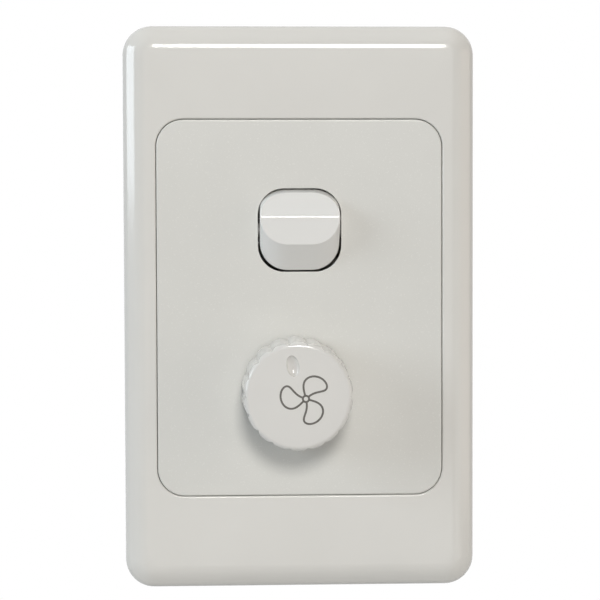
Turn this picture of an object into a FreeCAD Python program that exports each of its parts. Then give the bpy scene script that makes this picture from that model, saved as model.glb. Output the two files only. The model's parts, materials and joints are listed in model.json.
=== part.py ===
import FreeCAD, Part
import math
import os
import re

import Sketcher

# Fan speed control switch: a vertical wall plate with a rocker light switch above
# and a four-position rotary fan speed controller below it.
# Frame: X to the right, Y into the wall, Z up. The wall is the plane y = 0 and the
# fixing holes lie evenly above and below the origin.
# A depth is a distance in front of the wall, so it is negative inside the wall box.

Vector = FreeCAD.Vector
Rotation = FreeCAD.Rotation

SIZES = (
    ("plate_width", 72.4, "surround, across"),
    ("plate_height", 116.0, "surround, up and down"),
    ("plate_corner", 6.0, "outer corner radius of the surround"),
    ("face_depth", 8.5, "front face, in front of the wall"),
    ("side_wall", 1.8, "skirt of the surround"),
    ("face_skin", 1.9, "face of the surround"),
    ("shoulder_run", 3.3, "sloping shoulder, across"),
    ("shoulder_drop", 2.3, "sloping shoulder, front to back"),
    ("shoulder_round", 2.5, "rounding between shoulder and skirt"),
    ("break_round", 0.8, "rounding between face and shoulder"),
    ("cavity_bevel", 1.2, "bevel inside the surround"),
    ("side_border", 6.9, "surround beside the raised panel"),
    ("panel_height", 77.3, "raised middle panel, up and down"),
    ("panel_corner", 5.6, "corner radius of the panel"),
    ("panel_gap", 0.25, "gap round the panel in the window"),
    ("panel_skin", 2.0, "front wall of the panel"),
    ("panel_wall", 1.6, "side walls of the panel"),
    ("panel_end_wall", 2.7, "upper and lower walls of the panel"),
    ("edge_round", 0.35, "rounding on moulded front edges"),
    ("flange_thickness", 2.0, "base flange of the grid plate"),
    ("flange_gap", 0.3, "room between the flange and the skirt"),
    ("rim_wall", 1.5, "upstanding rim, thickness"),
    ("rim_height", 5.0, "upstanding rim, front edge"),
    ("catch_length", 8.0, "snap catch, up and down"),
    ("catch_reach", 0.8, "snap catch, beyond the rim"),
    ("catch_thick", 1.0, "snap catch, front to back"),
    ("catch_depth", 2.6, "snap catch, rear face"),
    ("catch_spacing", 60.0, "upper catches to lower catches"),
    ("catch_room", 0.3, "clearance in the catch pockets"),
    ("notch_width", 9.0, "prying notch in the lower skirt"),
    ("notch_depth", 1.4, "prying notch, front to back"),
    ("fixing_centres", 84.0, "fixing hole to fixing hole"),
    ("fixing_radius", 2.1, "fixing hole"),
    ("head_room", 4.2, "relief for a screw head"),
    ("clip_reach", 1.6, "clip arms, behind the wall plane"),
    ("clip_thick", 1.3, "clip arm thickness"),
    ("clip_width", 8.0, "clip arm width"),
    ("clip_hook", 0.7, "hook of a clip arm"),
    ("clip_hook_thick", 1.0, "hook, front to back"),
    ("clip_room", 0.1, "clearance at the clips"),
    ("rocker_place", 16.0, "rocker centre above the middle"),
    ("rocker_opening", 17.1, "square opening for the rocker"),
    ("rocker_corner", 5.4, "corner radius of that opening"),
    ("button_corner", 5.7, "corner radius of the rocker button"),
    ("rocker_gap", 0.38, "gap round the rocker button"),
    ("rocker_lip", 0.8, "panel thickness round the rocker"),
    ("lip_flare", 0.55, "widening of the opening to the rear"),
    ("rocker_tilt", 16.1, "degrees the button leans either way"),
    ("pivot_drop", 6.0, "pivot behind the panel face"),
    ("ridge_reach", 10.1, "ridge of the button from the pivot"),
    ("ridge_round", 1.2, "rounding along the button's ridge"),
    ("end_lean", 54.75, "degrees the button's end leans in"),
    ("button_rear", 1.2, "rear edge of the button from the pivot"),
    ("button_wall", 1.6, "wall of the button"),
    ("button_round", 0.3, "rounding on the button's edges"),
    ("ridge_wall", 1.84, "wall of the button under its ridge"),
    ("hollow_flat", 4.6, "sloping roof of the button's hollow, up and down"),
    ("ear_radius", 3.0, "pivot ears of the button"),
    ("trunnion_radius", 1.5, "pivot pins"),
    ("trunnion_reach", 10.2, "pivot pins from the middle"),
    ("running_room", 0.05, "radial clearance of pins and shafts"),
    ("stem_radius", 2.6, "stem inside the button"),
    ("stem_rear", 2.0, "stem behind the pivot"),
    ("plunger_radius", 1.4, "plunger"),
    ("plunger_room", 0.08, "radial clearance of the plunger"),
    ("plunger_reach", 9.0, "plunger tip from the pivot"),
    ("plunger_top", 2.0, "plunger's front end from the pivot"),
    ("stem_bore_top", 6.6, "end of the stem bore from the pivot"),
    ("spring_wire", 0.36, "spring wire diameter"),
    ("spring_room", 0.1, "play at the spring ends and sides"),
    ("mech_width", 22.0, "rocker mechanism, across"),
    ("mech_height", 25.0, "rocker mechanism, up and down"),
    ("mech_corner", 1.2, "corner radius of the mechanisms"),
    ("mech_wall", 1.6, "walls of the rocker mechanism"),
    ("mech_rear", 24.0, "rear of the rocker mechanism"),
    ("chamber_rear", 11.5, "rear of the switching chamber"),
    ("arm_width", 5.0, "contact arm, across"),
    ("arm_length", 15.6, "contact arm, up and down"),
    ("arm_thick", 0.9, "contact arm thickness"),
    ("arm_rise", 8.0, "degrees each half of the arm is bent"),
    ("arm_tilt", 6.0, "degrees the arm leans either way"),
    ("arm_gap", 0.15, "room between plunger and arm"),
    ("bead_radius", 0.6, "rounded seat that the arm rocks on"),
    ("bead_sink", 0.35, "seat centre behind the arm"),
    ("contact_radius", 1.1, "contact button radius"),
    ("contact_height", 0.7, "contact button height"),
    ("blade_width", 4.0, "contact blades, across"),
    ("contact_gap", 0.12, "gap left at a closed contact"),
    ("terminal_width", 7.0, "terminal block, across"),
    ("terminal_height", 5.2, "terminal block, up and down"),
    ("terminal_front", 13.5, "front of the terminal blocks"),
    ("terminal_rear", 22.5, "rear of the terminal blocks"),
    ("terminal_pitch", 8.0, "terminal to terminal"),
    ("terminal_room", 0.1, "room round a terminal block"),
    ("stop_thick", 1.2, "rib that a rocker terminal stands against"),
    ("wire_radius", 1.6, "wire hole"),
    ("wire_length", 8.0, "depth of a wire hole"),
    ("wire_shift", 1.2, "wire hole off the block's middle"),
    ("clamp_radius", 1.25, "clamp screw shank"),
    ("clamp_head", 2.1, "clamp screw head radius"),
    ("clamp_head_height", 1.6, "clamp screw head height"),
    ("clamp_travel", 1.0, "how far a clamp screw is backed off"),
    ("clamp_slot", 0.7, "screw slot width"),
    ("access_radius", 2.5, "hole for the screwdriver"),
    ("rotary_place", -17.05, "knob axis above the middle"),
    ("rotary_across", -0.8, "knob axis to the right of the middle"),
    ("case_border", 7.3, "panel beside the controller case"),
    ("mech_apart", 2.55, "rocker mechanism to controller case"),
    ("case_wall", 1.8, "controller case walls"),
    ("case_front_wall", 2.0, "front wall of the controller case"),
    ("case_split", 14.0, "case and rear cover meet"),
    ("case_rear", 28.0, "rear of the controller"),
    ("boss_width", 15.0, "square boss on the case"),
    ("boss_corner", 3.0, "corner radius of the boss"),
    ("boss_drop", 0.2, "boss face behind the panel face"),
    ("boss_room", 0.2, "room round the boss"),
    ("bush_radius", 4.5, "threaded bush"),
    ("bush_flange", 6.5, "bush flange radius"),
    ("bush_flange_thick", 1.3, "bush flange thickness"),
    ("nut_size", 12.0, "nut, across flats"),
    ("nut_thick", 1.8, "nut thickness"),
    ("washer_radius", 6.6, "washer radius"),
    ("washer_thick", 0.4, "washer thickness"),
    ("bush_proud", 0.4, "bush beyond the nut"),
    ("shaft_radius", 3.0, "control shaft"),
    ("shaft_front", 19.4, "front end of the shaft"),
    ("shaft_rear", 7.4, "rear end of the shaft"),
    ("shaft_flat", 1.6, "flat from the shaft's centre"),
    ("flat_length", 8.2, "length of the flat under the knob"),
    ("clip_ring_front", 2.95, "retaining ring, front face"),
    ("clip_ring_thick", 0.7, "retaining ring thickness"),
    ("clip_ring_radius", 4.3, "retaining ring radius"),
    ("groove_radius", 2.4, "shaft groove for the ring"),
    ("ring_mouth", 3.84, "mouth of the retaining ring"),
    ("ring_mouth_place", 1.0, "mouth of the retaining ring from the axis"),
    ("rotor_radius", 9.0, "switch rotor"),
    ("rotor_front", 1.8, "rotor, front face"),
    ("rotor_rear", 3.0, "rotor, rear face"),
    ("detent_radius", 1.5, "detent ball"),
    ("detent_gap", 0.15, "room between ball and rotor"),
    ("detent_notch", 0.7, "depth of a detent notch"),
    ("detent_bore_end", 15.6, "end of the detent bore from the axis"),
    ("detent_block", 6.4, "detent block width"),
    ("detent_block_rear", 3.2, "rear of the detent block"),
    ("detent_block_edge", 9.6, "detent block from the axis"),
    ("speed_step", 45.0, "degrees from speed to speed"),
    ("speed_count", 3.0, "number of fan speeds"),
    ("off_angle", -10.5, "clockwise place of OFF from the top"),
    ("wafer_border", 7.0, "controller case beside the wafer"),
    ("wafer_margin", 5.0, "controller case above and below the wafer"),
    ("wafer_front", 4.6, "contact wafer, front face"),
    ("wafer_thick", 1.6, "contact wafer thickness"),
    ("wiper_thick", 0.4, "wiper strip thickness"),
    ("wiper_radius", 5.4, "wiper ring radius"),
    ("finger_radius", 7.6, "wiper finger tip from the axis"),
    ("finger_width", 2.4, "wiper finger width"),
    ("dimple_radius", 0.8, "contact dimple on the wiper"),
    ("rivet_radius", 1.3, "fixed contact head"),
    ("rivet_head", 0.25, "fixed contact head height"),
    ("rivet_shank", 0.7, "fixed contact shank radius"),
    ("ring_inner", 3.6, "common contact, inner radius"),
    ("ring_outer", 5.2, "common contact, outer radius"),
    ("board_front", 8.0, "circuit board, front face"),
    ("board_thick", 1.6, "circuit board thickness"),
    ("board_room", 0.3, "room round the circuit board"),
    ("board_corner", 4.7, "square corner notch of the board"),
    ("cap_border", 8.0, "controller case beside the large capacitor"),
    ("cap_share", 0.305, "height of the large capacitor to that of the case"),
    ("cap_length", 15.0, "large capacitor, front to back"),
    ("cap_margin", 2.1, "large capacitor to the case's upper wall"),
    ("small_cap_border", 9.0, "controller case beside the small capacitor"),
    ("small_cap_share", 0.235, "height of the small capacitor to that of the case"),
    ("small_cap_length", 13.0, "small capacitor, front to back"),
    ("cap_apart", 1.45, "capacitor to capacitor"),
    ("resistor_radius", 1.2, "resistor radius"),
    ("resistor_length", 7.0, "resistor length"),
    ("resistor_apart", 1.35, "resistor below the small capacitor"),
    ("resistor_lift", 1.6, "resistor centre behind the board"),
    ("lead_radius", 0.35, "component lead radius"),
    ("lead_spacing", 12.0, "resistor lead to lead"),
    ("supply_border", 10.0, "middle of a supply terminal to the case's side"),
    ("supply_margin", 1.3, "supply terminals to the case's lower wall"),
    ("supply_front", 16.5, "front of the supply terminals"),
    ("supply_rear", 25.5, "rear of the supply terminals"),
    ("supply_leg", 2.0, "leg of a supply terminal"),
    ("pillar_radius", 2.3, "screw pillars in the case"),
    ("pillar_inset", 3.9, "pillar centre from the case's sides"),
    ("cover_screw", 1.2, "cover screw shank radius"),
    ("cover_screw_head", 2.0, "cover screw head radius"),
    ("cover_screw_head_height", 1.4, "cover screw head height"),
    ("cover_screw_length", 9.0, "cover screw below the head"),
    ("cover_seat", 4.0, "cover pillar under a screw head"),
    ("cover_pillar", 2.9, "cover pillar radius"),
    ("post_radius", 1.8, "posts that the wafer sits on"),
    ("post_inset", 2.5, "posts from the wafer's sides"),
    ("knob_radius", 11.35, "knob at its base"),
    ("knob_base", 9.1, "knob, rear edge"),
    ("knob_face", 21.9, "knob, front face"),
    ("knob_draft", 1.9, "degrees the knob's side leans in"),
    ("knob_cap", 10.8, "knob at its face, before the rounding"),
    ("knob_round", 1.0, "rounding round the knob's face"),
    ("knob_crown", 0.3, "doming of the knob's face"),
    ("lobe_count", 18.0, "finger grip lobes"),
    ("lobe_radius", 3.0, "radius of a lobe"),
    ("knob_wall", 1.9, "knob side wall"),
    ("knob_roof", 2.2, "knob front wall"),
    ("hub_radius", 4.7, "hub inside the knob"),
    ("hub_rear", 11.4, "rear of the hub"),
    ("rib_thick", 1.2, "ribs inside the knob"),
    ("dimple_place", 6.2, "pointer dimple from the axis"),
    ("dimple_long", 2.15, "pointer dimple, half length"),
    ("dimple_wide", 1.25, "pointer dimple, half width"),
    ("dimple_deep", 0.8, "pointer dimple, depth"),
)

DERIVED = (
    ("cavity_width", "plate_width - 2 * side_wall"),
    ("cavity_height", "plate_height - 2 * side_wall"),
    ("cavity_corner", "plate_corner - side_wall"),
    ("flange_width", "cavity_width - 2 * flange_gap"),
    ("flange_height", "cavity_height - 2 * flange_gap"),
    ("flange_corner", "cavity_corner - flange_gap"),
    ("panel_width", "plate_width - 2 * side_border"),
    ("panel_rear", "face_depth - panel_skin"),
    ("mech_front", "face_depth - rocker_lip"),
    ("pivot_depth", "face_depth - pivot_drop"),
    ("button_width", "rocker_opening - 2 * rocker_gap"),
    ("arm_front", "pivot_depth - plunger_reach - arm_gap"),
    ("bead_depth", "arm_front - arm_thick - bead_sink"),
    ("contact_place", "terminal_pitch - terminal_height / 2 + contact_radius"),
    (
        "fixed_contact",
        "bead_depth + (bead_sink + contact_place * tan(arm_rise) - contact_height)"
        " * cos(arm_tilt) - (contact_place + contact_radius) * sin(arm_tilt)"
        " - contact_gap",
    ),
    ("clamp_middle", "(terminal_front + terminal_rear) / 2"),
    ("supply_middle", "(supply_front + supply_rear) / 2"),
    ("boss_front", "face_depth - boss_drop"),
    ("nut_rear", "boss_front + washer_thick"),
    ("case_width", "panel_width - 2 * case_border"),
    (
        "case_height",
        "2 * (rocker_place - mech_height / 2 - mech_apart - rotary_place)",
    ),
    ("case_hollow", "panel_rear - case_front_wall"),
    ("rotor_middle", "(rotor_front - rotor_rear) / 2"),
    ("ball_place", "rotary_place + rotor_radius + detent_gap + detent_radius"),
    ("detent_end", "rotary_place + detent_bore_end"),
    ("wafer_width", "case_width - 2 * wafer_border"),
    ("wafer_height", "case_height - 2 * wafer_margin"),
    ("board_rear", "-board_front - board_thick"),
    ("cap_width", "case_width - 2 * cap_border"),
    ("cap_height", "case_height * cap_share"),
    ("cap_place", "case_height / 2 - case_wall - cap_margin - cap_height / 2"),
    ("small_cap_width", "case_width - 2 * small_cap_border"),
    ("small_cap_height", "case_height * small_cap_share"),
    ("small_cap_place", "cap_place - (cap_height + small_cap_height) / 2 - cap_apart"),
    (
        "resistor_place",
        "small_cap_place - small_cap_height / 2 - resistor_apart - resistor_radius",
    ),
    ("supply_spacing", "case_width - 2 * supply_border"),
    (
        "supply_place",
        "terminal_width / 2 + supply_margin + case_wall - case_height / 2",
    ),
)

AXES = {
    "across": Vector(1, 0, 0),
    "rearward": Vector(0, 1, 0),
    "up": Vector(0, 0, 1),
}

os.makedirs("parts", exist_ok=True)
doc = FreeCAD.newDocument("fan_speed_control_switch")
sheet = doc.addObject("Spreadsheet::Sheet", "Sizes")
for row, (alias, size, note) in enumerate(SIZES, start=1):
    sheet.set("A%d" % row, note)
    sheet.set("B%d" % row, str(size))
    sheet.setAlias("B%d" % row, alias)
for row, (alias, formula) in enumerate(DERIVED, start=1):
    sheet.set("D%d" % row, "=" + formula)
    sheet.setAlias("D%d" % row, alias)
doc.recompute()

WORDS = {entry[0] for entry in SIZES + DERIVED}


def bound(expression):
    """The expression with each size read from the sheet."""
    return re.sub(
        r"[a-z_]+",
        lambda word: "Sizes." + word.group() if word.group() in WORDS else word.group(),
        expression,
    )


def number(expression):
    return float(sheet.evalExpression(bound(expression)))


def tie(item, path, expression):
    item.setExpression(path, bound(expression))


# Outlines: each returns a function that draws itself in a sketch and ties its sizes.


def fix_point(sketch, curve, point, across, upward):
    for kind, expression in (("DistanceX", across), ("DistanceY", upward)):
        index = sketch.addConstraint(
            Sketcher.Constraint(kind, -1, 1, curve, point, number(expression))
        )
        tie(sketch, "Constraints[%d]" % index, expression)


def circle(radius, across="0", upward="0"):
    def draw(sketch):
        centre = Vector(number(across), number(upward), 0)
        curve = sketch.addGeometry(Part.Circle(centre, Vector(0, 0, 1), number(radius)))
        index = sketch.addConstraint(Sketcher.Constraint("Radius", curve, number(radius)))
        tie(sketch, "Constraints[%d]" % index, radius)
        fix_point(sketch, curve, 3, across, upward)

    return draw


def outline(corners):
    """A closed outline. A corner is (across, upward) or (across, upward, radius),
    and rounded corners lie between level and upright sides."""

    def shifted(corner, towards, radius):
        here = Vector(number(corner[0]), number(corner[1]), 0)
        there = Vector(number(towards[0]), number(towards[1]), 0)
        step = there - here
        across, upward = corner[0], corner[1]
        if abs(step.x) > abs(step.y):
            across = "(%s) + %d * (%s)" % (across, math.copysign(1, step.x), radius)
        else:
            upward = "(%s) + %d * (%s)" % (upward, math.copysign(1, step.y), radius)
        return across, upward

    def draw(sketch):
        stops = []
        for index, corner in enumerate(corners):
            before = corners[index - 1]
            after = corners[(index + 1) % len(corners)]
            if len(corner) == 2:
                stops.append((corner[:2], corner[:2], None))
            else:
                entry = shifted(corner, before, corner[2])
                leave = shifted(corner, after, corner[2])
                stops.append((entry, leave, corner[2]))
        lines = []
        for index, stop in enumerate(stops):
            start = stop[1]
            end = stops[(index + 1) % len(stops)][0]
            first = Vector(number(start[0]), number(start[1]), 0)
            last = Vector(number(end[0]), number(end[1]), 0)
            line = sketch.addGeometry(Part.LineSegment(first, last))
            fix_point(sketch, line, 1, *start)
            lines.append(line)
            if stops[(index + 1) % len(stops)][2]:
                fix_point(sketch, line, 2, *end)
        for index, (entry, leave, radius) in enumerate(stops):
            line_in = lines[index - 1]
            line_out = lines[index]
            if radius is None:
                sketch.addConstraint(
                    Sketcher.Constraint("Coincident", line_in, 2, line_out, 1)
                )
                continue
            first = Vector(number(entry[0]), number(entry[1]), 0)
            last = Vector(number(leave[0]), number(leave[1]), 0)
            corner = Vector(number(corners[index][0]), number(corners[index][1]), 0)
            centre = first + last - corner
            reach = number(radius)
            middle = centre + (corner - centre).normalize() * reach
            arc = Part.Arc(first, middle, last)
            curve = sketch.addGeometry(arc)
            placed = sketch.Geometry[curve]
            swap = (placed.StartPoint - first).Length > (placed.EndPoint - first).Length
            sketch.addConstraint(
                Sketcher.Constraint("Coincident", line_in, 2, curve, 2 if swap else 1)
            )
            sketch.addConstraint(
                Sketcher.Constraint("Coincident", line_out, 1, curve, 1 if swap else 2)
            )
            size = sketch.addConstraint(Sketcher.Constraint("Radius", curve, reach))
            tie(sketch, "Constraints[%d]" % size, radius)

    return draw


def rectangle(width, height, across="0", upward="0", radius=None):
    left = "(%s) - (%s) / 2" % (across, width)
    right = "(%s) + (%s) / 2" % (across, width)
    bottom = "(%s) - (%s) / 2" % (upward, height)
    top = "(%s) + (%s) / 2" % (upward, height)
    rounding = () if radius is None else (radius,)
    return outline(
        [
            (left, bottom) + rounding,
            (right, bottom) + rounding,
            (right, top) + rounding,
            (left, top) + rounding,
        ]
    )


# Solid features. A front plane sketch looks at the face of the switch, with X to its
# right and Z up, a side plane sketch has Y to its right and Z up, and a level plane
# sketch has X to its right and Y up.

PLANES = {"front": "XZ_Plane", "side": "YZ_Plane", "level": "XY_Plane"}


def new_body(label):
    body = doc.addObject("PartDesign::Body", label)
    body.Label = label
    return body


def new_sketch(body, name, start, outlines, plane="front"):
    sketch = body.newObject("Sketcher::SketchObject", name)
    for datum in body.Origin.OriginFeatures:
        if datum.Role == PLANES[plane]:
            sketch.AttachmentSupport = [(datum, "")]
    sketch.MapMode = "FlatFace"
    tie(sketch, "AttachmentOffset.Base.z", start)
    for draw in outlines:
        draw(sketch)
    return sketch


def pad(body, name, start, length, *outlines, plane="front", taper=None):
    """Grows from the start along the plane's normal, forward for a front plane."""
    feature = body.newObject("PartDesign::Pad", name)
    feature.Profile = new_sketch(body, name + "_outline", start, outlines, plane)
    tie(feature, "Length", length)
    if taper:
        tie(feature, "TaperAngle", taper)
    return feature


def pocket(body, name, start, length, *outlines, plane="front"):
    """Cuts from the start against the plane's normal, rearward for a front plane."""
    feature = body.newObject("PartDesign::Pocket", name)
    feature.Profile = new_sketch(body, name + "_outline", start, outlines, plane)
    tie(feature, "Length", length)
    return feature


def edges(shape, keep):
    return [
        "Edge%d" % (index + 1)
        for index, edge in enumerate(shape.Edges)
        if keep(edge.BoundBox)
    ]


def at_depth(depth, half_width=None, half_height=None, inside=True):
    """Picks edges that lie at a depth, inside or outside a centred frame."""
    plane = -number(depth)

    def keep(box):
        level = abs(box.YMin - plane) < 0.001 and abs(box.YMax - plane) < 0.001
        if half_width is None:
            return level
        within = max(abs(box.XMin), abs(box.XMax)) < number(half_width) + 0.01
        within = within and max(abs(box.ZMin), abs(box.ZMax)) < number(half_height) + 0.01
        return level and within == inside

    return keep


def fillet(body, name, base, keep, radius):
    doc.recompute()
    feature = body.newObject("PartDesign::Fillet", name)
    feature.Base = (base, edges(base.Shape, keep))
    tie(feature, "Radius", radius)
    return feature


def chamfer(body, name, base, keep, size, second=None, flip=False):
    doc.recompute()
    feature = body.newObject("PartDesign::Chamfer", name)
    feature.Base = (base, edges(base.Shape, keep))
    if second:
        feature.ChamferType = "Two distances"
        feature.FlipDirection = flip
        tie(feature, "Size2", second)
    tie(feature, "Size", size)
    return feature


def polar(body, name, features, axis_role, angle, count, reverse=False):
    feature = body.newObject("PartDesign::PolarPattern", name)
    feature.Originals = features
    for datum in body.Origin.OriginFeatures:
        if datum.Role == axis_role:
            feature.Axis = (datum, [""])
    feature.Angle = angle
    feature.Occurrences = count
    feature.Reversed = reverse
    body.Tip = feature
    return feature


# Part primitives, placed by their size expressions.


def put(item, across="0", depth="0", upward="0"):
    tie(item, "Placement.Base.x", across)
    tie(item, "Placement.Base.y", "-(%s)" % depth)
    tie(item, "Placement.Base.z", upward)
    return item


def rod(name, radius, length, axis, across="0", depth="0", upward="0"):
    item = doc.addObject("Part::Cylinder", name)
    tie(item, "Radius", radius)
    tie(item, "Height", length)
    item.Placement.Rotation = Rotation(Vector(0, 0, 1), AXES[axis])
    return put(item, across, depth, upward)


def ball(name, radius, across="0", depth="0", upward="0"):
    item = doc.addObject("Part::Sphere", name)
    tie(item, "Radius", radius)
    return put(item, across, depth, upward)


def block(name, width, reach, height, across="0", depth="0", upward="0"):
    """A box centred across and upward, that goes rearward from its depth."""
    item = doc.addObject("Part::Box", name)
    tie(item, "Length", width)
    tie(item, "Width", reach)
    tie(item, "Height", height)
    corner = "(%s) - (%s) / 2"
    return put(item, corner % (across, width), depth, corner % (upward, height))


def fuse(name, *items):
    joined = doc.addObject("Part::MultiFuse", name)
    joined.Shapes = list(items)
    return joined


def shared(name, *items):
    kept = doc.addObject("Part::MultiCommon", name)
    kept.Shapes = list(items)
    return kept


def cut(name, base, tool):
    result = doc.addObject("Part::Cut", name)
    result.Base = base
    result.Tool = tool
    return result


def extruded(name, sketch, direction, forward, backward="0"):
    item = doc.addObject("Part::Extrusion", name)
    item.Base = sketch
    item.DirMode = "Custom"
    for path, expression in zip(("Dir.x", "Dir.y", "Dir.z"), direction):
        tie(item, path, expression)
    tie(item, "LengthFwd", forward)
    tie(item, "LengthRev", backward)
    item.Solid = True
    return item


def turn(item, axis, angle):
    """Turns a piece about an axis by a bound angle. The first degree sets the axis."""
    item.Placement.Rotation = Rotation(AXES[axis], 1)
    tie(item, "Placement.Rotation.Angle", angle)


def turned_sketch(name, angle, outlines, across="0", rearward="0", upward="0"):
    """A loose sketch whose plane is turned by an angle about X from level."""
    sketch = doc.addObject("Sketcher::SketchObject", name)
    for draw in outlines:
        draw(sketch)
    turn(sketch, "across", angle)
    tie(sketch, "Placement.Base.x", across)
    tie(sketch, "Placement.Base.y", rearward)
    tie(sketch, "Placement.Base.z", upward)
    return sketch


def spring(name, radius, length, turns, angle, across, depth, upward):
    """A coil that starts at the given place. It runs upward before it is turned
    about X by its angle."""
    helix = doc.addObject("Part::Helix", name + "_coil")
    tie(helix, "Radius", radius)
    tie(helix, "Height", length)
    tie(helix, "Pitch", "(%s) / (%s)" % (length, turns))
    wire = doc.addObject("Part::Circle", name + "_wire")
    tie(wire, "Radius", "spring_wire / 2")
    tie(wire, "Placement.Base.x", radius)
    turn(wire, "across", "90")
    doc.recompute()
    sweep = doc.addObject("Part::Sweep", name)
    sweep.Sections = [wire]
    sweep.Spine = (helix, ["Edge%d" % (i + 1) for i in range(len(helix.Shape.Edges))])
    sweep.Solid = True
    sweep.Frenet = True
    turn(sweep, "across", angle)
    return put(sweep, across, depth, upward)


# The surround snaps over the grid plate and frames the raised panel.


def surround():
    body = new_body("surround")
    shell = pad(
        body, "shell", "0", "face_depth",
        rectangle("plate_width", "plate_height", radius="plate_corner"),
    )
    slope = chamfer(
        body, "shoulder", shell, at_depth("face_depth"),
        "shoulder_run", "shoulder_drop", flip=True,
    )
    rounded = fillet(
        body, "shoulder_edge", slope,
        at_depth("face_depth - shoulder_drop"), "shoulder_round",
    )
    fillet(body, "face_break", rounded, at_depth("face_depth"), "break_round")
    cavity = pocket(
        body, "cavity", "face_depth - face_skin", "face_depth - face_skin",
        rectangle("cavity_width", "cavity_height", radius="cavity_corner"),
    )
    chamfer(
        body, "cavity_edge", cavity,
        at_depth("face_depth - face_skin"), "cavity_bevel",
    )
    window = pocket(
        body, "window", "face_depth", "face_depth",
        rectangle(
            "panel_width + 2 * panel_gap", "panel_height + 2 * panel_gap",
            radius="panel_corner + panel_gap",
        ),
    )
    fillet(
        body, "window_edge", window,
        at_depth(
            "face_depth", "panel_width / 2 + panel_gap", "panel_height / 2 + panel_gap"
        ),
        "edge_round",
    )
    pocket(
        body, "catch_pockets", "catch_depth + catch_thick + catch_room",
        "catch_thick + 2 * catch_room",
        *[
            rectangle(
                "2 * catch_reach", "catch_length + 2 * catch_room",
                "%d * cavity_width / 2" % side, "%d * catch_spacing / 2" % end,
            )
            for side in (-1, 1)
            for end in (-1, 1)
        ],
    )
    pocket(
        body, "prying_notch", "notch_depth", "notch_depth",
        rectangle("notch_width", "3 * side_wall", "0", "-plate_height / 2"),
    )
    return body


def clip_arms(body, name, half_width, across, place):
    """A pair of sprung arms that hold a mechanism by its sides."""
    middle = across + " + %d * ((%s) + clip_room + clip_thick / 2)"
    pad(
        body, name + "_arms", "-clip_reach", "panel_rear + clip_reach + clip_room",
        *[
            rectangle("clip_thick", "clip_width", middle % (side, half_width), place)
            for side in (-1, 1)
        ],
    )
    hook = across + " + %d * ((%s) + clip_room + clip_thick / 2 - clip_hook / 2)"
    return pad(
        body, name + "_hooks", "-clip_reach", "clip_hook_thick",
        *[
            rectangle(
                "clip_thick + clip_hook", "clip_width", hook % (side, half_width), place
            )
            for side in (-1, 1)
        ],
    )


def clip_notches(body, name, half_width, across, place):
    """Notches for the hooks of the clip arms, in the sides of a mechanism."""
    return pocket(
        body, name, "-clip_reach + clip_hook_thick + clip_room",
        "clip_hook_thick + 2 * clip_room",
        *[
            rectangle(
                "2 * clip_hook", "clip_width + 4 * clip_room",
                "%s + %d * (%s)" % (across, side, half_width), place,
            )
            for side in (-1, 1)
        ],
    )


# The grid plate is screwed to the wall and carries both mechanisms. Its middle is
# raised into the panel that shows in the surround's window.


def grid_plate():
    body = new_body("grid_plate")
    pad(
        body, "flange", "0", "flange_thickness",
        rectangle("flange_width", "flange_height", radius="flange_corner"),
    )
    pad(
        body, "rim", "0", "rim_height",
        rectangle("flange_width", "flange_height", radius="flange_corner"),
        rectangle(
            "flange_width - 2 * rim_wall", "flange_height - 2 * rim_wall",
            radius="flange_corner - rim_wall",
        ),
    )
    raised = pad(
        body, "raised_panel", "0", "face_depth",
        rectangle("panel_width", "panel_height", radius="panel_corner"),
    )
    fillet(body, "panel_edge", raised, at_depth("face_depth"), "edge_round")
    pocket(
        body, "hollow", "panel_rear", "panel_rear",
        rectangle(
            "panel_width - 2 * panel_wall", "panel_height - 2 * panel_end_wall",
            radius="panel_corner - panel_wall",
        ),
    )
    ends = ["%d * fixing_centres / 2" % end for end in (-1, 1)]
    pocket(
        body, "head_relief", "panel_rear", "panel_rear - flange_thickness",
        *[circle("head_room", "0", place) for place in ends],
    )
    pocket(
        body, "fixing_holes", "flange_thickness", "flange_thickness",
        *[circle("fixing_radius", "0", place) for place in ends],
    )
    pad(
        body, "catches", "catch_depth", "catch_thick",
        *[
            rectangle(
                "2 * catch_reach", "catch_length",
                "%d * flange_width / 2" % side, "%d * catch_spacing / 2" % end,
            )
            for side in (-1, 1)
            for end in (-1, 1)
        ],
    )
    pocket(
        body, "mechanism_seat", "mech_front", "mech_front - panel_rear",
        rectangle(
            "mech_width + 2 * clip_room", "mech_height + 2 * clip_room",
            "0", "rocker_place", "mech_corner",
        ),
    )
    opening = pocket(
        body, "rocker_opening", "face_depth", "rocker_lip",
        rectangle(
            "rocker_opening", "rocker_opening", "0", "rocker_place", "rocker_corner"
        ),
    )
    centre = number("rocker_place")
    reach = number("rocker_opening / 2") + 0.01

    def round_rocker(depth):
        level = at_depth(depth)
        return lambda box: (
            level(box)
            and max(abs(box.XMin), abs(box.XMax)) < reach
            and max(abs(box.ZMin - centre), abs(box.ZMax - centre)) < reach
        )

    flared = chamfer(
        body, "opening_flare", opening, round_rocker("mech_front"),
        "lip_flare", "rocker_lip - 2 * clip_room", flip=True,
    )
    fillet(body, "opening_edge", flared, round_rocker("face_depth"), "clip_room")
    pocket(
        body, "boss_opening", "face_depth", "panel_skin",
        rectangle(
            "boss_width + 2 * boss_room", "boss_width + 2 * boss_room",
            "rotary_across", "rotary_place", "boss_corner + boss_room",
        ),
    )
    clip_arms(body, "rocker_clip", "mech_width / 2", "0", "rocker_place")
    clip_arms(body, "controller_clip", "case_width / 2", "rotary_across", "rotary_place")
    return body


# The rocker button leans on two pivot pins. Its form is mirrored about the pivot:
# two flats that meet in a ridge, and ends that lean in from the rounded square
# opening. It is drawn upright about its pivot and then leant to its rest.


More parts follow.
